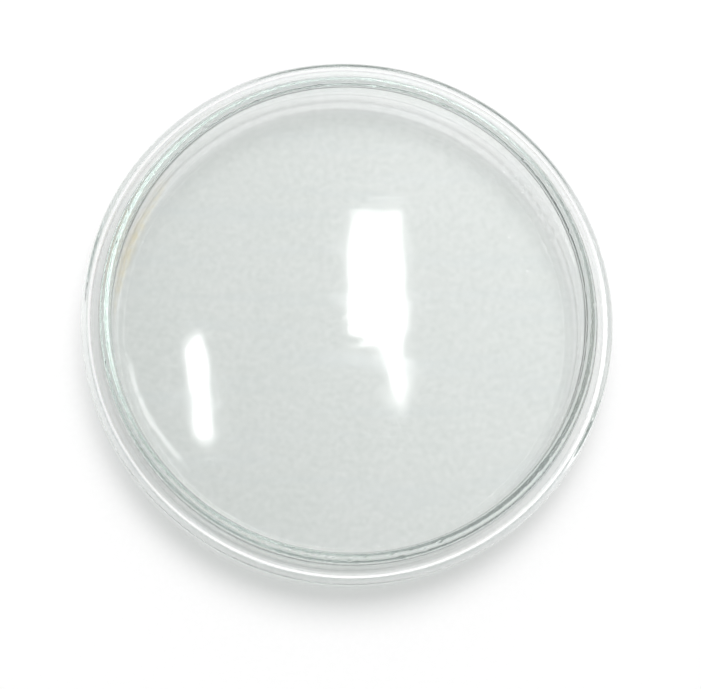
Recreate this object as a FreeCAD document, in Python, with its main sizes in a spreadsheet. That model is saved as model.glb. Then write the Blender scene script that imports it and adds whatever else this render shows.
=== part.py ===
import FreeCAD, Part

import math
import os

import Sketcher

# A round glass culture dish with a loose overlapping cover, closed and standing on a table.
# Millimetres, +Z up, origin on the table under the middle of the cover. The cover lies loose, with
# about 1.7 mm of play all round, so the dish under it stands a little off that middle.

SHEET_NAME = "dimensions"
DIMENSIONS = [
    ("dish_radius", 46.5, "outside of the dish's wall"),
    ("dish_height", 15.0, "table to the dish's rim, on which the cover lies"),
    ("dish_wall", 2.1, "thickness of the dish's wall"),
    ("dish_floor", 2.0, "thickness of the dish's floor"),
    ("dish_foot_round", 3.0, "rounding from the underside to the wall"),
    ("dish_inner_round", 2.0, "rounding inside, from the floor to the wall"),
    ("dish_rim_round", 1.0, "rounding each side of the fire-polished rim"),
    ("dish_off_right", 0.10, "how far the loose pieces lie off centre, towards +X"),
    ("dish_off_back", 0.30, "how far the loose pieces lie off centre, towards +Y"),
    ("cover_radius", 50.0, "outside of the cover's skirt"),
    ("cover_top", 2.0, "thickness of the cover's plate"),
    ("cover_wall", 1.8, "thickness of the skirt"),
    ("cover_overlap", 12.0, "length of the skirt below the dish's rim"),
    ("cover_shoulder_round", 4.5, "rounding outside, from the plate to the skirt"),
    ("cover_inner_round", 1.8, "rounding inside, from the plate to the skirt"),
    ("cover_hem_round", 0.85, "rounding each side of the skirt's lower edge"),
    ("mark_ring", 41.5, "radius of the ring on which the mould marks lie"),
    ("mark_ball", 1.2, "radius of the ball that pressed each mark"),
    ("mark_depth", 0.15, "depth of each mark below the plate"),
    ("mark_start", 22.0, "angle of the first mark, in degrees"),
    ("mark_sweep", 22.0, "angle from the first mark to the last, in degrees"),
    ("mark_count", 7, "number of mould marks"),
]
NEARLY = 0.001
MARK_TOLERANCE = 0.02


def make_sheet(doc):
    """Put the driving dimensions in a sheet, each with an alias that expressions can use."""
    sheet = doc.addObject("Spreadsheet::Sheet", SHEET_NAME)
    for row, (alias, value, meaning) in enumerate(DIMENSIONS, start=1):
        sheet.set(f"A{row}", alias)
        sheet.set(f"B{row}", str(value))
        sheet.set(f"C{row}", meaning)
        sheet.setAlias(f"B{row}", alias)
    doc.recompute()
    return sheet


def bound(formula):
    """Turn dimension names in a formula into references to the sheet's cells."""
    words = formula.split()
    aliases = {alias for alias, value, meaning in DIMENSIONS}
    return " ".join(f"{SHEET_NAME}.{word}" if word in aliases else word for word in words)


def bind(thing, prop, formula):
    thing.setExpression(prop, bound(formula))


def origin_feature(body, role):
    return next(item for item in body.Origin.OriginFeatures if item.Role == role)


def make_body(doc, label):
    body = doc.addObject("PartDesign::Body", label)
    body.Label = label
    return body


def make_profile(body, name, corners):
    """Draw half of a piece's upright section: level and upright lines through the corners."""
    sketch = body.newObject("Sketcher::SketchObject", name)
    sketch.AttachmentSupport = [(origin_feature(body, "XZ_Plane"), "")]
    sketch.MapMode = "FlatFace"
    count = len(corners)
    for index, (x, z) in enumerate(corners):
        next_x, next_z = corners[(index + 1) % count]
        start = FreeCAD.Vector(x, z, 0)
        end = FreeCAD.Vector(next_x, next_z, 0)
        sketch.addGeometry(Part.LineSegment(start, end), False)
        direction = "Horizontal" if z == next_z else "Vertical"
        sketch.addConstraint(Sketcher.Constraint(direction, index))
    for index in range(count):
        sketch.addConstraint(Sketcher.Constraint("Coincident", index, 2, (index + 1) % count, 1))
    sketch.addConstraint(Sketcher.Constraint("Coincident", 0, 1, -1, 1))
    return sketch


def size_line(sketch, name, line, value, formula):
    """Name the length of one line of a profile and bind it to the sheet."""
    number = sketch.addConstraint(Sketcher.Constraint("Distance", line, value))
    sketch.renameConstraint(number, name)
    bind(sketch, f"Constraints.{name}", formula)


def revolve(body, name, sketch):
    """Turn a profile once around the upright axis."""
    turned = body.newObject("PartDesign::Revolution", name)
    turned.Profile = sketch
    turned.ReferenceAxis = (sketch, ["V_Axis"])
    turned.Angle = 360
    sketch.Visibility = False
    body.Document.recompute()
    return turned


def ring_edges(shape, rings):
    """Name the edges that are full circles of the given radii at the given heights."""
    found = []
    for number, edge in enumerate(shape.Edges, start=1):
        if not isinstance(edge.Curve, Part.Circle):
            continue
        for radius, height in rings:
            same_radius = abs(edge.Curve.Radius - radius) < NEARLY
            same_height = abs(edge.Curve.Center.z - height) < NEARLY
            if same_radius and same_height:
                found.append(f"Edge{number}")
    return found


def round_rings(body, name, base, rings, formula):
    """Round the edges of a piece that lie on the given rings."""
    edges = ring_edges(base.Shape, rings)
    if len(edges) != len(rings):
        raise RuntimeError(f"{name} found {len(edges)} of its {len(rings)} edges")
    fillet = body.newObject("PartDesign::Fillet", name)
    fillet.Base = (base, edges)
    bind(fillet, "Radius", formula)
    body.Document.recompute()
    return fillet


def make_dish(doc, sheet):
    """The base dish: a flat floor, a rounded foot and an upright wall with a rounded rim.

    Its own origin is in the middle of its underside.
    """
    body = make_body(doc, "dish")
    radius = sheet.dish_radius
    height = sheet.dish_height
    floor = sheet.dish_floor
    inside = radius - sheet.dish_wall

    corners = [(0, 0), (radius, 0), (radius, height), (inside, height), (inside, floor), (0, floor)]
    profile = make_profile(body, "dish_profile", corners)
    size_line(profile, "underside_radius", 0, radius, "dish_radius")
    size_line(profile, "wall_height", 1, height, "dish_height")
    size_line(profile, "rim_width", 2, sheet.dish_wall, "dish_wall")
    size_line(profile, "floor_thickness", 5, floor, "dish_floor")

    blank = revolve(body, "dish_blank", profile)
    foot = round_rings(body, "dish_foot", blank, [(radius, 0)], "dish_foot_round")
    inner = round_rings(body, "dish_inner", foot, [(inside, floor)], "dish_inner_round")
    rim = [(radius, height), (inside, height)]
    body.Tip = round_rings(body, "dish_rim", inner, rim, "dish_rim_round")
    bind(body, "Placement.Base.x", "dish_off_right")
    bind(body, "Placement.Base.y", "dish_off_back")
    return body


def make_mould_marks(body, base, sheet):
    """Press a short arc of round dimples into the plate: the plain marks of the cover's mould."""
    ball = body.newObject("PartDesign::SubtractiveSphere", "mark_ball_cut")
    bind(ball, "Radius", "mark_ball")
    ball.AttachmentSupport = [(origin_feature(body, "XY_Plane"), "")]
    ball.MapMode = "FlatFace"
    across = "AttachmentOffset.Base.x"
    along = "AttachmentOffset.Base.y"
    bind(ball, across, "mark_ring * cos( mark_start * 1deg )")
    bind(ball, along, "mark_ring * sin( mark_start * 1deg )")
    bind(ball, "AttachmentOffset.Base.z", "cover_top + mark_ball - mark_depth")
    body.Document.recompute()

    marks = body.newObject("PartDesign::PolarPattern", "mould_marks")
    marks.Originals = [ball]
    marks.Axis = (origin_feature(body, "Z_Axis"), [""])
    bind(marks, "Angle", "mark_sweep")
    bind(marks, "Occurrences", "mark_count")
    body.Tip = marks
    body.Document.recompute()

    depth = sheet.mark_depth
    dimple = math.pi * depth**2 * (sheet.mark_ball - depth / 3)
    expected = dimple * sheet.mark_count
    removed = base.Shape.Volume - marks.Shape.Volume
    if abs(removed - expected) > MARK_TOLERANCE * expected:
        raise RuntimeError(f"the mould marks remove {removed:.3f} mm3, not {expected:.3f}")
    return marks


def make_cover(doc, sheet):
    """The cover: a flat plate with a rounded shoulder and a skirt that hangs over the dish.

    Its own origin is in the middle of the plate's underside, which lies on the dish's rim.
    """
    body = make_body(doc, "cover")
    radius = sheet.cover_radius
    top = sheet.cover_top
    hem = -sheet.cover_overlap
    inside = radius - sheet.cover_wall

    corners = [(0, 0), (inside, 0), (inside, hem), (radius, hem), (radius, top), (0, top)]
    profile = make_profile(body, "cover_profile", corners)
    size_line(profile, "skirt_inside", 0, inside, "cover_radius - cover_wall")
    size_line(profile, "skirt_drop", 1, sheet.cover_overlap, "cover_overlap")
    size_line(profile, "hem_width", 2, sheet.cover_wall, "cover_wall")
    size_line(profile, "plate_thickness", 5, top, "cover_top")

    blank = revolve(body, "cover_blank", profile)
    outer = [(radius, top)]
    shoulder = round_rings(body, "cover_shoulder", blank, outer, "cover_shoulder_round")
    inner = round_rings(body, "cover_inner", shoulder, [(inside, 0)], "cover_inner_round")
    hem_edges = [(radius, hem), (inside, hem)]
    rounded = round_rings(body, "cover_hem", inner, hem_edges, "cover_hem_round")
    make_mould_marks(body, rounded, sheet)
    bind(body, "Placement.Base.z", "dish_height")
    return body


def check_document(doc, pieces):
    """Stop before anything is written if a feature has failed or a piece isn't one sound solid."""
    for thing in doc.Objects:
        if "Invalid" in thing.State or "Error" in thing.State:
            raise RuntimeError(f"{thing.Label} failed: {thing.State}")
    for piece in pieces:
        shape = piece.Shape
        if shape.isNull() or not shape.isValid() or len(shape.Solids) != 1:
            raise RuntimeError(f"{piece.Label} isn't one sound solid")
    shared = pieces[0].Shape.common(pieces[1].Shape).Volume
    if shared > NEARLY:
        raise RuntimeError(f"the cover and the dish share {shared:.3f} mm3")


def export_pieces(pieces):
    os.makedirs("parts", exist_ok=True)
    for piece in pieces:
        piece.Shape.exportStep(f"parts/{piece.Label}.step")
        box = piece.Shape.optimalBoundingBox()
        print(f"{piece.Label}: {box.XLength:.2f} x {box.YLength:.2f} x {box.ZLength:.2f} mm,"
              f" {piece.Shape.Volume:.1f} mm3, z {box.ZMin:.2f} to {box.ZMax:.2f}")


def main():
    doc = FreeCAD.newDocument("covered_dish")
    sheet = make_sheet(doc)
    pieces = [make_dish(doc, sheet), make_cover(doc, sheet)]
    doc.recompute()
    check_document(doc, pieces)
    export_pieces(pieces)


main()
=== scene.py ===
import math

import bpy
from mathutils import Matrix, Vector, noise


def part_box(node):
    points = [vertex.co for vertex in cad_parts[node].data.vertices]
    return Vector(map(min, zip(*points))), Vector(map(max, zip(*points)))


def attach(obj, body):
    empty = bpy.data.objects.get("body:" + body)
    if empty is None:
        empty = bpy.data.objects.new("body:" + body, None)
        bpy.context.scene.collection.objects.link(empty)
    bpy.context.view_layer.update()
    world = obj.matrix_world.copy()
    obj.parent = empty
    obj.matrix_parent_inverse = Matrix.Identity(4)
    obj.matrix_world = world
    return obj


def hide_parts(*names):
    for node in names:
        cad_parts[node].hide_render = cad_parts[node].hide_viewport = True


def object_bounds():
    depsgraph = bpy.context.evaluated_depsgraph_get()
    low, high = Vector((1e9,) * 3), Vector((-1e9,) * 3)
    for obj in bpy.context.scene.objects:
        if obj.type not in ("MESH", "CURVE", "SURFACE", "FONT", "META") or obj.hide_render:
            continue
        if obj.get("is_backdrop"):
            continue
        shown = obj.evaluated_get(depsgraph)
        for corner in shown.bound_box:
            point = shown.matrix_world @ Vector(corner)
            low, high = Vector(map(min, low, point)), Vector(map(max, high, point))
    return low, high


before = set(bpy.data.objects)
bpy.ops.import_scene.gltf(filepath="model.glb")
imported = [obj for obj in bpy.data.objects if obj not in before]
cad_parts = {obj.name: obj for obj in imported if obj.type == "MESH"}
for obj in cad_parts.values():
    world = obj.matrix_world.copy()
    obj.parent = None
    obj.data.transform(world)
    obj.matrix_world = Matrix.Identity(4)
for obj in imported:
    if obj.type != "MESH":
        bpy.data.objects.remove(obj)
cad_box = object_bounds()

# A closed glass culture dish. Meshes are worked out in millimetres and placed in metres.
MM = 0.001
SEGMENTS = 1080

# Places and sizes that the frame gives.
dish_low, dish_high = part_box("dish")
cover_low, cover_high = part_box("cover")
DISH_MIDDLE_X = (dish_low[0] + dish_high[0]) / 2 / MM
DISH_MIDDLE_Y = (dish_low[1] + dish_high[1]) / 2 / MM
DISH_RADIUS = (dish_high[0] - dish_low[0]) / 2 / MM
DISH_HEIGHT = dish_high[2] / MM
COVER_RADIUS = cover_high[0] / MM
COVER_HEM = cover_low[2] / MM
COVER_TOP = cover_high[2] / MM

# Glass thicknesses and roundings.
DISH_WALL = 2.1
DISH_FLOOR = 2.0
FOOT_ROUND = 3.0
FLOOR_ROUND = 2.0
RIM_ROUND = 1.0
COVER_WALL = 1.8
SHOULDER_ROUND = 4.5
UNDER_ROUND = 1.8
HEM_ROUND = 0.85
REST_GAP = 0.04

# The mould's plain marks, pressed into the top of the cover.
MARK_RING = 41.5
MARK_BALL = 1.2
MARK_DEPTH = 0.15
MARK_STEP = 0.2
MARK_START = 22.0
MARK_SWEEP = 22.0
MARK_COUNT = 7
MARK_ANGLES = [MARK_START + step * MARK_SWEEP / (MARK_COUNT - 1) for step in range(MARK_COUNT)]

# Soda-lime glass: its colour through its thickness.
GLASS_TINT = (0.58, 0.76, 0.69, 1)
GLASS_DENSITY = 7.0
GLASS_IOR = 1.5
DISH_SEED = 0.0
COVER_SEED = 31.0
FLAT_ROUGHNESS = 0.03
SMEAR_ROUGHNESS = 0.04
RIPPLE_HEIGHT = 0.00002
MOTTLE_TINT = (0.962, 0.967, 0.964, 1)
CLOUD_TINT = (0.992, 0.995, 0.993, 1)
SMEAR_TINT = (0.950, 0.965, 0.975, 1)
STAIN_TINT = (0.88, 0.77, 0.53, 1)

# What each face lets through to the table: level faces, and upright ones seen at a slant.
LEVEL_PASSES = (0.895, 0.904, 0.898, 1)
UPRIGHT_PASSES = (0.800, 0.795, 0.798, 1)

# Directions in the studio, as angles from +X towards +Y.
CAMERA_SIDE = 250.0
CAMERA_HEIGHT = 78.0
BRIGHT_SIDE = 30.0
STAIN_SIDE = 160.0
WINDOW_SIDE = -58.0

# The studio that the glass reflects, as (position, brightness): from its dark side to its bright
# side, and from the horizon upwards.
SKY_ACROSS = ((0.0, 0.24), (0.3, 0.28), (0.5, 0.36), (0.64, 1.25), (0.8, 1.35))
SKY_UPWARD = ((0.0, 0.05), (0.30, 0.10), (0.60, 1.5))
WINDOW_LIGHT = 4.0
TABLE_SKY = 0.33

# Ways that light can turn inside the glass before it is given up.
LIGHT_TURNS = 24


# ---- mesh helpers ------------------------------------------------------------------------------

def arc(centre_r, centre_z, radius, start, end, steps=14):
    """Points on an arc of an upright section, as (radius, height), angles in degrees."""
    angles = [math.radians(start + (end - start) * i / steps) for i in range(steps + 1)]
    return [(centre_r + radius * math.cos(a), centre_z + radius * math.sin(a)) for a in angles]


def level(start_r, end_r, z, step=1.5):
    """Points along a level line between two radii, ends left out."""
    count = max(2, round(abs(end_r - start_r) / step))
    return [(start_r + (end_r - start_r) * i / count, z) for i in range(1, count)]


def upright(r, start_z, end_z, step=1.5):
    """Points along an upright line between two heights, ends left out."""
    count = max(2, round(abs(end_z - start_z) / step))
    return [(r, start_z + (end_z - start_z) * i / count) for i in range(1, count)]


def turn(name, section, shift):
    """Turn a section that starts and ends on the axis into a closed mesh, moving points by shift."""
    verts = []
    rings = []
    for r, z in section:
        if r == 0:
            rings.append([len(verts)] * SEGMENTS)
            verts.append(shift(0.0, 0.0, z))
            continue
        rings.append(range(len(verts), len(verts) + SEGMENTS))
        for step in range(SEGMENTS):
            angle = 2 * math.pi * step / SEGMENTS
            verts.append(shift(r * math.cos(angle), r * math.sin(angle), z))
    faces = []
    for low, high in zip(rings, rings[1:]):
        for step in range(SEGMENTS):
            after = (step + 1) % SEGMENTS
            corners = [low[step], low[after], high[after], high[step]]
            faces.append(list(dict.fromkeys(corners)))
    mesh = bpy.data.meshes.new(name)
    mesh.from_pydata([(x * MM, y * MM, z * MM) for x, y, z in verts], [], faces)
    mesh.polygons.foreach_set("use_smooth", [True] * len(mesh.polygons))
    mesh.update()
    piece = bpy.data.objects.new(name, mesh)
    bpy.context.scene.collection.objects.link(piece)
    return piece


def wave(x, y, z, size, seed):
    """A smooth rise and fall of pressed glass, from -1 to 1, over about size millimetres."""
    return noise.noise(Vector((x / size + seed, y / size, z / size)))


# ---- the two pieces ----------------------------------------------------------------------------

def make_dish():
    inside = DISH_RADIUS - DISH_WALL
    rim = DISH_HEIGHT - REST_GAP
    section = [(0, 0)]
    section += level(0, DISH_RADIUS - FOOT_ROUND, 0, 3)
    section += arc(DISH_RADIUS - FOOT_ROUND, FOOT_ROUND, FOOT_ROUND, -90, 0)
    section += upright(DISH_RADIUS, FOOT_ROUND, rim - RIM_ROUND, 2)
    section += arc(DISH_RADIUS - RIM_ROUND, rim - RIM_ROUND, RIM_ROUND, 0, 90, 8)
    section += arc(inside + RIM_ROUND, rim - RIM_ROUND, RIM_ROUND, 90, 180, 8)
    section += upright(inside, rim - RIM_ROUND, DISH_FLOOR + FLOOR_ROUND, 2)
    section += arc(inside - FLOOR_ROUND, DISH_FLOOR + FLOOR_ROUND, FLOOR_ROUND, 0, -90)
    section += level(inside - FLOOR_ROUND, 0, DISH_FLOOR, 3)
    section += [(0, DISH_FLOOR)]

    def shift(x, y, z):
        if z > rim - 0.3:
            chip = max(0.0, wave(x, y, 0, 0.7, 3) - 0.35)
            return x + DISH_MIDDLE_X, y + DISH_MIDDLE_Y, z - 0.35 * chip
        lift = 0.02 * wave(x, y, z, 22, 7) if z >= DISH_FLOOR else 0.0
        swell = 1 + 0.0002 * wave(x, y, z, 18, 11)
        return x * swell + DISH_MIDDLE_X, y * swell + DISH_MIDDLE_Y, z + lift

    return turn("dish_glass", section, shift)


def crease(x, y):
    """The shear mark: a shallow curl left in the middle by the cut of the molten gob."""
    dx, dy = x - 4.0, y + 0.8
    along = dx * 0.97 + dy * 0.25
    across = -dx * 0.25 + dy * 0.97 - 0.04 * along**2
    return -0.035 * math.exp(-(across / 0.5) ** 2 - (along / 4.0) ** 2)


def mark_dip(x, y):
    """How far the mould's marks lower the plate at a point."""
    dip = 0.0
    for angle in MARK_ANGLES:
        dx = x - MARK_RING * math.cos(math.radians(angle))
        dy = y - MARK_RING * math.sin(math.radians(angle))
        away = dx * dx + dy * dy
        if away < MARK_BALL**2:
            dip = max(dip, math.sqrt(MARK_BALL**2 - away) - MARK_BALL + MARK_DEPTH)
    return dip


def make_cover():
    inside = COVER_RADIUS - COVER_WALL
    under = DISH_HEIGHT
    section = [(0, under)]
    section += level(0, inside - UNDER_ROUND, under, 2)
    section += arc(inside - UNDER_ROUND, under - UNDER_ROUND, UNDER_ROUND, 90, 0, 8)
    section += upright(inside, under - UNDER_ROUND, COVER_HEM + HEM_ROUND, 2)
    section += arc(inside + HEM_ROUND, COVER_HEM + HEM_ROUND, HEM_ROUND, 180, 270, 10)
    section += arc(COVER_RADIUS - HEM_ROUND, COVER_HEM + HEM_ROUND, HEM_ROUND, 270, 360, 10)
    section += upright(COVER_RADIUS, COVER_HEM + HEM_ROUND, COVER_TOP - SHOULDER_ROUND, 2)
    section += arc(COVER_RADIUS - SHOULDER_ROUND, COVER_TOP - SHOULDER_ROUND, SHOULDER_ROUND, 0, 90)
    flat = COVER_RADIUS - SHOULDER_ROUND
    across_marks = round(2 * MARK_BALL / MARK_STEP)
    section += level(flat, MARK_RING + MARK_BALL, COVER_TOP, 1)
    section += [(MARK_RING + MARK_BALL - MARK_STEP * i, COVER_TOP) for i in range(across_marks + 1)]
    section += level(MARK_RING - MARK_BALL, 0, COVER_TOP, 1.5)
    section += [(0, COVER_TOP)]

    def shift(x, y, z):
        swell = 1 + 0.0002 * wave(x, y, z, 16, 5)
        if z < under:
            return x * swell, y * swell, z
        if z == under:
            return x, y, z + 0.015 * max(0.0, wave(x, y, 0, 20, 2))
        lift = 0.015 * wave(x, y, 0, 26, 9)
        if z == COVER_TOP:
            lift += crease(x, y) - mark_dip(x, y)
        return x * swell, y * swell, z + lift

    return turn("cover_glass", section, shift)


# ---- materials ---------------------------------------------------------------------------------

def grey(level):
    return (level, level, level, 1)


def mapped(tree, value, low, high, start, end):
    """Carry a value smoothly from the range low..high over to start..end."""
    node = tree.nodes.new("ShaderNodeMapRange")
    node.interpolation_type = "SMOOTHSTEP"
    limits = {"From Min": low, "From Max": high, "To Min": start, "To Max": end}
    for socket, number in limits.items():
        node.inputs[socket].default_value = number
    tree.links.new(value, node.inputs["Value"])
    return node.outputs["Result"]


def feed(tree, socket, value):
    """Set a socket to a plain value, or link it when the value is another node's output."""
    if isinstance(value, bpy.types.NodeSocket):
        tree.links.new(value, socket)
    else:
        socket.default_value = value


def reckon(tree, operation, first, second=0.0):
    """One step of arithmetic on two values."""
    node = tree.nodes.new("ShaderNodeMath")
    node.operation = operation
    feed(tree, node.inputs[0], first)
    feed(tree, node.inputs[1], second)
    return node.outputs[0]


def blend(tree, factor, first, second, mode="MIX"):
    """Mix two colours."""
    node = tree.nodes.new("ShaderNodeMix")
    node.data_type = "RGBA"
    node.blend_type = mode
    feed(tree, node.inputs[0], factor)
    feed(tree, node.inputs[6], first)
    feed(tree, node.inputs[7], second)
    return node.outputs[2]


def pattern(tree, size, seed, stretch=(1, 1, 1), lean=0.0, detail=2.0):
    """Noise with features of about size metres, drawn out by stretch and turned by lean."""
    place = tree.nodes.new("ShaderNodeTexCoord")
    mapping = tree.nodes.new("ShaderNodeMapping")
    mapping.inputs["Location"].default_value = (seed, 0, 0)
    mapping.inputs["Rotation"].default_value = (0, 0, math.radians(lean))
    mapping.inputs["Scale"].default_value = [1 / (size * s) for s in stretch]
    tree.links.new(place.outputs["Object"], mapping.inputs["Vector"])
    field = tree.nodes.new("ShaderNodeTexNoise")
    field.inputs["Scale"].default_value = 1.0
    field.inputs["Detail"].default_value = detail
    tree.links.new(mapping.outputs["Vector"], field.inputs["Vector"])
    return field.outputs[0]


def toward(tree, place, direction):
    """How far a place or direction lies along a given direction."""
    node = tree.nodes.new("ShaderNodeVectorMath")
    node.operation = "DOT_PRODUCT"
    node.inputs[1].default_value = direction
    tree.links.new(place, node.inputs[0])
    return node.outputs["Value"]


def parts(tree, vector):
    """The three parts of a vector."""
    node = tree.nodes.new("ShaderNodeSeparateXYZ")
    tree.links.new(vector, node.inputs[0])
    return node.outputs


def flatness(tree):
    """1 on level faces and 0 on upright ones."""
    face = tree.nodes.new("ShaderNodeNewGeometry")
    upright_part = reckon(tree, "ABSOLUTE", parts(tree, face.outputs["Normal"])[2])
    return mapped(tree, upright_part, 0.80, 0.99, 0.0, 1.0)


def stain_mask(tree, seed):
    """A faint dried trace low on a short stretch of the wall and the rounding at its foot."""
    place = tree.nodes.new("ShaderNodeTexCoord")
    side = toward(tree, place.outputs["Object"], heading(STAIN_SIDE, 0))
    near = mapped(tree, side, 0.0428, 0.0450, 0.0, 1.0)
    low = mapped(tree, parts(tree, place.outputs["Object"])[2], 0.003, 0.011, 1.0, 0.0)
    broken = mapped(tree, pattern(tree, 0.0016, seed), 0.36, 0.62, 0.3, 1.0)
    return reckon(tree, "MULTIPLY", reckon(tree, "MULTIPLY", near, low), broken)


def glass_colour(tree, seed, wiped, stained):
    """A fine mottle under soft clouds, greyed where a smear was wiped."""
    mottle = mapped(tree, pattern(tree, 0.0011, seed, detail=4.0), 0.38, 0.62, 0.0, 1.0)
    clouds = mapped(tree, pattern(tree, 0.014, seed + 5, detail=3.0), 0.35, 0.65, 0.0, 1.0)
    colour = blend(tree, mottle, MOTTLE_TINT, grey(1.0))
    haze = blend(tree, clouds, CLOUD_TINT, grey(1.0))
    colour = blend(tree, 1.0, colour, haze, "MULTIPLY")
    colour = blend(tree, reckon(tree, "MULTIPLY", wiped, 0.5), colour, SMEAR_TINT)
    if stained:
        colour = blend(tree, stain_mask(tree, seed), colour, STAIN_TINT)
    return colour


def glass_bump(tree, seed):
    """The ripple of pressed glass, with hair scratches from years of stacking."""
    scratch = pattern(tree, 0.0004, seed + 13, stretch=(60.0, 1.0, 60.0), lean=34.0, detail=0.0)
    lines = reckon(tree, "MULTIPLY", mapped(tree, scratch, 0.70, 0.80, 0.0, 1.0), -0.05)
    ripple = reckon(tree, "ADD", pattern(tree, 0.009, seed + 17, detail=1.0), lines)
    bump = tree.nodes.new("ShaderNodeBump")
    bump.inputs["Strength"].default_value = 1.0
    bump.inputs["Distance"].default_value = RIPPLE_HEIGHT
    tree.links.new(ripple, bump.inputs["Height"])
    return bump.outputs["Normal"]


def passing_light(tree, shader):
    """Let light from lamps and from the table go straight through, dimmed by each face."""
    clear = tree.nodes.new("ShaderNodeBsdfTransparent")
    slope = tree.nodes.new("ShaderNodeLayerWeight")
    steep = mapped(tree, slope.outputs["Facing"], 0.30, 0.90, 0.0, 1.0)
    upright_steep = reckon(tree, "MULTIPLY", steep, reckon(tree, "SUBTRACT", 1.0, flatness(tree)))
    tree.links.new(blend(tree, upright_steep, LEVEL_PASSES, UPRIGHT_PASSES), clear.inputs["Color"])
    path = tree.nodes.new("ShaderNodeLightPath")
    surface = shader.outputs[0]
    for kind in ("Is Diffuse Ray", "Is Shadow Ray"):
        choice = tree.nodes.new("ShaderNodeMixShader")
        tree.links.new(path.outputs[kind], choice.inputs[0])
        tree.links.new(surface, choice.inputs[1])
        tree.links.new(clear.outputs[0], choice.inputs[2])
        surface = choice.outputs[0]
    return surface


def glass(name, seed, stained):
    """Clear pressed glass, rougher on its level faces than on its walls."""
    material = bpy.data.materials.new(name)
    material.use_nodes = True
    tree = material.node_tree
    tree.nodes.clear()
    out = tree.nodes.new("ShaderNodeOutputMaterial")
    shader = tree.nodes.new("ShaderNodeBsdfPrincipled")
    shader.inputs["Transmission Weight"].default_value = 1.0
    shader.inputs["IOR"].default_value = GLASS_IOR

    smear = pattern(tree, 0.012, seed + 9, stretch=(3.0, 0.35, 1.0), lean=-12.0, detail=3.0)
    wiped = mapped(tree, smear, 0.52, 0.70, 0.0, 1.0)
    tree.links.new(glass_colour(tree, seed, wiped, stained), shader.inputs["Base Color"])
    wiped_roughness = reckon(tree, "MULTIPLY", wiped, SMEAR_ROUGHNESS)
    level_roughness = reckon(tree, "ADD", wiped_roughness, FLAT_ROUGHNESS)
    roughness = reckon(tree, "MULTIPLY", level_roughness, flatness(tree))
    tree.links.new(roughness, shader.inputs["Roughness"])
    tree.links.new(glass_bump(tree, seed), shader.inputs["Normal"])
    tree.links.new(passing_light(tree, shader), out.inputs["Surface"])

    absorb = tree.nodes.new("ShaderNodeVolumeAbsorption")
    absorb.inputs["Color"].default_value = GLASS_TINT
    absorb.inputs["Density"].default_value = GLASS_DENSITY
    tree.links.new(absorb.outputs[0], out.inputs["Volume"])
    return material


def table_material():
    material = bpy.data.materials.new("white_table")
    material.use_nodes = True
    shader = material.node_tree.nodes["Principled BSDF"]
    tree = material.node_tree
    grain = mapped(tree, pattern(tree, 0.0009, 3, detail=3.0), 0.30, 0.70, 0.0, 1.0)
    paper = blend(tree, grain, (0.875, 0.875, 0.875, 1), (0.885, 0.885, 0.885, 1))
    tree.links.new(paper, shader.inputs["Base Color"])
    shader.inputs["Roughness"].default_value = 0.9
    shader.inputs["Specular IOR Level"].default_value = 0.0
    return material


# ---- stage -------------------------------------------------------------------------------------

def aim(thing, place, target, roll=0.0):
    """Put a camera or lamp at a place, facing a target, with the picture's up along +Y."""
    away = (Vector(place) - Vector(target)).normalized()
    up = (Vector((0, 1, 0)) - away * away.y).normalized()
    up.rotate(Matrix.Rotation(math.radians(roll), 3, away))
    side = up.cross(away)
    thing.matrix_world = Matrix.Translation(place) @ Matrix((side, up, away)).transposed().to_4x4()


def heading(angle, height):
    """A unit vector from an angle around the object and an angle above the table."""
    around, above = math.radians(angle), math.radians(height)
    return Vector((math.cos(around) * math.cos(above), math.sin(around) * math.cos(above), math.sin(above)))


def make_floor():
    mesh = bpy.data.meshes.new("table")
    half, low = 3.0, -0.0003
    corners = [(-half, -half, low), (half, -half, low), (half, half, low), (-half, half, low)]
    mesh.from_pydata(corners, [], [(0, 1, 2, 3)])
    table = bpy.data.objects.new("table", mesh)
    bpy.context.scene.collection.objects.link(table)
    table.data.materials.append(table_material())
    table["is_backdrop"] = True


def lamp(name, place, size, power, roll=0.0):
    light = bpy.data.lights.new(name, "AREA")
    light.shape = "RECTANGLE"
    light.size, light.size_y = size
    light.energy = power
    holder = bpy.data.objects.new(name, light)
    bpy.context.scene.collection.objects.link(holder)
    aim(holder, place, (0, 0, 0.017), roll)
    return holder


def ramp_node(nodes, stops):
    """A colour ramp of plain greys from (position, shade) pairs."""
    ramp = nodes.new("ShaderNodeValToRGB")
    elements = ramp.color_ramp.elements
    while len(elements) < len(stops):
        elements.new(0.5)
    while len(elements) > len(stops):
        elements.remove(elements[-1])
    for element, (position, shade) in zip(elements, stops):
        element.position = position
        element.color = grey(shade)
    return ramp


def soften(holder, edge, left_stops=((0.0, 0.0),)):
    """Fade a softbox out over its edges; left_stops give its left edge at heights from 0 to 1."""
    light = holder.data
    light.use_nodes = True
    tree = light.node_tree
    place = tree.nodes.new("ShaderNodeNewGeometry")
    wide, tall = parts(tree, place.outputs["Parametric"])[:2]
    left = ramp_node(tree.nodes, left_stops)
    tree.links.new(tall, left.inputs[0])
    distances = (
        (reckon(tree, "SUBTRACT", wide, left.outputs[0]), edge / light.size),
        (reckon(tree, "SUBTRACT", 1.0, wide), edge / light.size),
        (tall, edge / light.size_y),
        (reckon(tree, "SUBTRACT", 1.0, tall), edge / light.size_y),
    )
    strength = 1.0
    for distance, width in distances:
        strength = reckon(tree, "MULTIPLY", strength, mapped(tree, distance, 0.0, width, 0.0, 1.0))
    tree.links.new(strength, tree.nodes["Emission"].inputs["Strength"])


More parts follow.
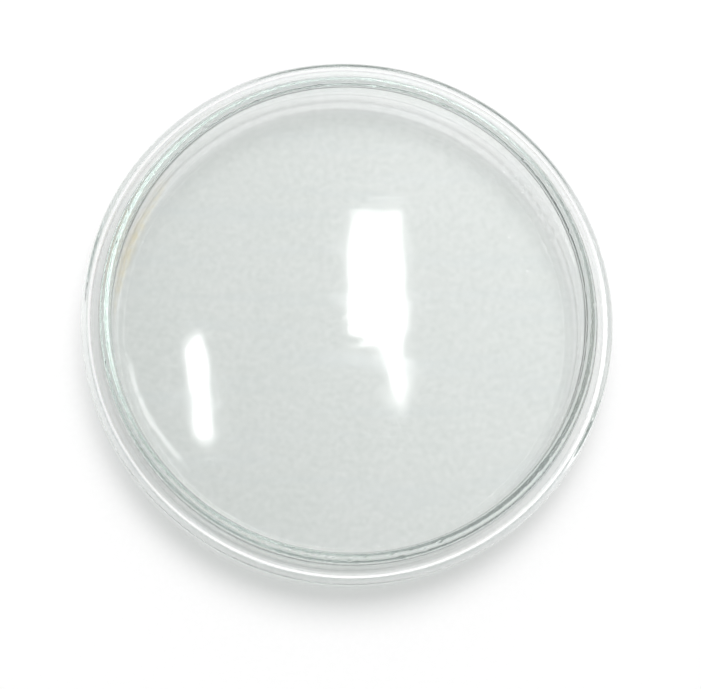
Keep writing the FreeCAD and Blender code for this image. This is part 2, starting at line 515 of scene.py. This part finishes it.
def make_world():
    """A plain soft sky for the table, and an uneven studio that only the glass reflects.

    The studio is brighter on one side, dark at the horizon and bright low down towards a window.
    """
    world = bpy.data.worlds.new("studio")
    bpy.context.scene.world = world
    world.use_nodes = True
    nodes = world.node_tree.nodes
    links = world.node_tree.links
    tree = world.node_tree
    background = nodes["Background"]
    background.inputs["Strength"].default_value = 1.0
    place = nodes.new("ShaderNodeTexCoord").outputs["Generated"]
    height = parts(tree, place)[2]
    centred = reckon(tree, "ADD", toward(tree, place, heading(BRIGHT_SIDE, 0) / 2), 0.5)
    across = ramp_node(nodes, SKY_ACROSS)
    links.new(centred, across.inputs[0])
    upward = ramp_node(nodes, SKY_UPWARD)
    links.new(height, upward.inputs[0])
    sky = blend(tree, 1.0, across.outputs[0], upward.outputs[0], "MULTIPLY")
    near = mapped(tree, toward(tree, place, heading(WINDOW_SIDE, 0)), -0.10, 0.45, 0.0, 1.0)
    low = mapped(tree, height, 0.22, 0.42, 1.0, 0.0)
    studio = blend(tree, reckon(tree, "MULTIPLY", near, low), sky, grey(WINDOW_LIGHT))
    path = nodes.new("ShaderNodeLightPath")
    glassy = blend(tree, path.outputs["Is Glossy Ray"], grey(TABLE_SKY), studio)
    seen = blend(tree, path.outputs["Is Camera Ray"], glassy, grey(1.0))
    links.new(seen, background.inputs["Color"])


def make_lamps():
    key = lamp("key_light", 1.2 * heading(88.0, 73.5), (0.58, 0.58), 13.6)
    key.visible_glossy = False
    key.visible_transmission = False
    main = lamp("main_softbox", (0.0915, 0.2115, 1.0), (0.040, 0.150), 0.16)
    soften(main, 0.005, ((0.0, 0.93), (0.30, 0.62), (0.39, 0.50), (0.42, 0.0)))
    strip = lamp("side_strip", (-0.034, 0.157, 1.0), (0.015, 0.071), 0.03, 8.0)
    soften(strip, 0.005)


def make_camera():
    camera = bpy.data.cameras.new("camera")
    holder = bpy.data.objects.new("camera", camera)
    bpy.context.scene.collection.objects.link(holder)
    reach, half_width = 0.36, 0.0663
    target = Vector((0.0005, -0.0043, 0.009))
    aim(holder, target + reach * heading(CAMERA_SIDE, CAMERA_HEIGHT), target)
    camera.sensor_width = 36.0
    camera.lens = camera.sensor_width / 2 * reach / half_width
    bpy.context.scene.camera = holder


def main():
    dish = make_dish()
    cover = make_cover()
    dish.data.materials.append(glass("pressed_glass", DISH_SEED, True))
    cover.data.materials.append(glass("cover_pressed_glass", COVER_SEED, False))
    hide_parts("dish")
    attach(dish, "dish")
    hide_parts("cover")
    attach(cover, "cover")
    make_floor()
    make_world()
    make_lamps()
    make_camera()
    scene = bpy.context.scene
    scene.view_settings.view_transform = "Standard"
    scene.cycles.max_bounces = LIGHT_TURNS
    scene.cycles.transmission_bounces = LIGHT_TURNS
    scene.cycles.glossy_bounces = LIGHT_TURNS
    scene.cycles.transparent_max_bounces = LIGHT_TURNS
    scene.cycles.caustics_refractive = True


main()
[[list(corner) for corner in box] for box in (cad_box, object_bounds())]
